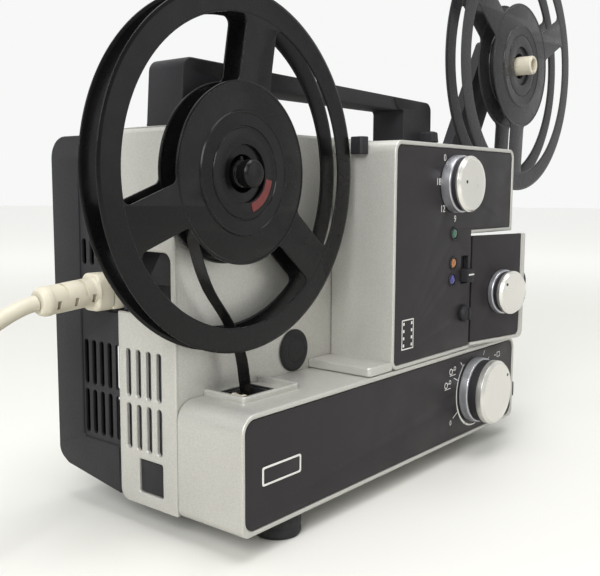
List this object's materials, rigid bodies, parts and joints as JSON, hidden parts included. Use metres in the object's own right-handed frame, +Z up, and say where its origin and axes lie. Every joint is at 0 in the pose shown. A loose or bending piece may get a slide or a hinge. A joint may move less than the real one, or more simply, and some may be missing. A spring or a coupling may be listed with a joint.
{
  "type": "film projector",
  "caption": "Table-top dual-format home film projector with a take-up reel on the wall, a supply reel on a folding arm, swing-out lens carrier, carry handle and mains lead.",
  "frame": {"origin": "middle of the machine's bounding box at the underside of its feet, measured without the mains lead", "axes": "+X towards the screen (the lens end), +Y away from the operator's control side, +Z up"},
  "size_m": [0.6598, 0.1773, 0.3653],
  "materials": {
    "silver_paint": "fine grained silver paint",
    "dark_panel": "satin dark grey panel",
    "black_plastic": "fine grained black",
    "reel_plastic": "semi-gloss black moulding",
    "spun_aluminium": "radially spun, satin",
    "chrome": "bright plated",
    "steel": "plain sheet",
    "rubber": "matt black",
    "ivory_plastic": "ivory moulding",
    "copper_winding": "varnished wire",
    "clear_glass": "clear",
    "green_lens": "translucent green",
    "orange_lens": "translucent orange",
    "blue_lens": "translucent blue"
  },
  "bodies": {
    "machine_body": {"base_cover": "silver_paint", "base_panel": "dark_panel", "bottom_plate": "steel", "foot_vent_end_front": "rubber", "foot_vent_end_back": "rubber", "foot_lens_end_back": "rubber", "lens_end_bumper": "rubber", "film_slot_guide": "black_plastic", "chassis_shell": "silver_paint", "rear_cover": "black_plastic", "selector_window": "black_plastic", "access_plug": "rubber", "handle": "black_plastic", "mains_inlet": "black_plastic", "control_housing": "silver_paint", "control_panel": "dark_panel", "green_indicator_lens": "green_lens", "orange_indicator_lens": "orange_lens", "blue_indicator_lens": "blue_lens", "rewind_film_guide": "black_plastic", "arm_pivot": "steel", "lamp_house": "steel", "reflector_lamp": "clear_glass", "film_gate": "steel", "motor_stator": "copper_winding", "transformer": "steel", "shutter_belt": "rubber", "film_leader": "reel_plastic", "mains_connector": "ivory_plastic", "mains_cord": "ivory_plastic", "cord_coil": "ivory_plastic", "mains_plug": "ivory_plastic"},
    "take_up_reel": {"take_up_near_flange": "reel_plastic", "take_up_far_flange": "reel_plastic", "take_up_hub": "reel_plastic", "take_up_spindle": "reel_plastic"},
    "supply_arm": {"supply_arm": "black_plastic"},
    "supply_reel": {"supply_near_flange": "reel_plastic", "supply_far_flange": "reel_plastic", "supply_hub": "reel_plastic", "supply_spindle": "ivory_plastic"},
    "function_knob": {"function_knob_skirt": "chrome", "function_knob_cap": "spun_aluminium"},
    "speed_knob": {"speed_knob_skirt": "chrome", "speed_knob_cap": "spun_aluminium"},
    "lens_carrier": {"lens_carrier_frame": "silver_paint", "lens_carrier_panel": "dark_panel"},
    "focus_knob": {"focus_knob_skirt": "chrome", "focus_knob_cap": "spun_aluminium"},
    "projection_lens": {"lens_barrel": "black_plastic", "lens_front_glass": "clear_glass"},
    "zoom_ring": {"zoom_ring": "rubber"},
    "format_slider": {"format_slider": "black_plastic"},
    "framing_knob": {"framing_knob": "black_plastic"},
    "film_roller": {"film_roller": "ivory_plastic"},
    "threading_key": {"threading_key": "black_plastic"},
    "levelling_foot": {"levelling_foot": "rubber"},
    "motor_rotor": {"motor_shaft": "steel", "cooling_fan": "black_plastic"},
    "shutter": {"shutter": "steel"}
  },
  "joints": [
    {"name": "take_up_spin", "type": "hinge", "parent": "machine_body", "child": "take_up_reel", "pos_m": [-0.1582, -0.0304, 0.1838], "axis": [0, 1, 0], "continuous": true},
    {"name": "arm_fold", "type": "hinge", "parent": "machine_body", "child": "supply_arm", "pos_m": [0.0873, -0.0054, 0.164], "axis": [0, 1, 0], "range_deg": [0, 60]},
    {"name": "supply_spin", "type": "hinge", "parent": "supply_arm", "child": "supply_reel", "pos_m": [0.1526, -0.0304, 0.2707], "axis": [0, 1, 0], "continuous": true},
    {"name": "function_turn", "type": "hinge", "parent": "machine_body", "child": "function_knob", "pos_m": [0.0409, -0.0624, 0.0427], "axis": [0, -1, 0], "range_deg": [-34, 171]},
    {"name": "speed_turn", "type": "hinge", "parent": "machine_body", "child": "speed_knob", "pos_m": [0.0067, -0.0624, 0.1799], "axis": [0, -1, 0], "range_deg": [-48, 97]},
    {"name": "carrier_swing", "type": "hinge", "parent": "machine_body", "child": "lens_carrier", "pos_m": [0.0312, -0.0624, 0.11], "axis": [0, 0, -1], "range_deg": [-10.5, 50]},
    {"name": "focus_turn", "type": "hinge", "parent": "lens_carrier", "child": "focus_knob", "pos_m": [0.06359, -0.07146, 0.1075], "axis": [-0.1822, -0.9833, 0], "range_deg": [-70, 70]},
    {"name": "lens_slide", "type": "slide", "parent": "lens_carrier", "child": "projection_lens", "axis": [0.9833, -0.1822, 0], "range_m": [-0.0032, 0.0032]},
    {"name": "zoom_turn", "type": "hinge", "parent": "projection_lens", "child": "zoom_ring", "pos_m": [0.11596, -0.04516, 0.109], "axis": [0.9833, -0.1822, 0], "range_deg": [-45, 45]},
    {"name": "format_slide", "type": "slide", "parent": "machine_body", "child": "format_slider", "axis": [0, 0, 1], "range_m": [0, 0.008]},
    {"name": "framing_turn", "type": "hinge", "parent": "machine_body", "child": "framing_knob", "pos_m": [0.0217, -0.0624, 0.0966], "axis": [0, -1, 0], "range_deg": [-60, 60]},
    {"name": "roller_spin", "type": "hinge", "parent": "machine_body", "child": "film_roller", "pos_m": [-0.1566, -0.03, 0.0676], "axis": [0, 1, 0], "continuous": true},
    {"name": "key_press", "type": "slide", "parent": "machine_body", "child": "threading_key", "axis": [0, 0, -1], "range_m": [0, 0.003], "stiffness_N_per_m": 300, "springref_m": -0.002},
    {"name": "foot_extend", "type": "slide", "parent": "machine_body", "child": "levelling_foot", "axis": [0, 0, -1], "range_m": [0, 0.01]},
    {"name": "motor_spin", "type": "hinge", "parent": "machine_body", "child": "motor_rotor", "pos_m": [-0.0386, 0.0326, 0.068], "axis": [1, 0, 0], "continuous": true},
    {"name": "shutter_spin", "type": "hinge", "parent": "machine_body", "child": "shutter", "pos_m": [0.0174, -0.0364, 0.124], "axis": [1, 0, 0], "continuous": true}
  ],
  "couplings": [
    {"joint": "lens_slide", "follows": "focus_turn", "m_per_rad": 0.0025},
    {"joint": "shutter_spin", "follows": "motor_spin", "ratio": 1.7143}
  ]
}
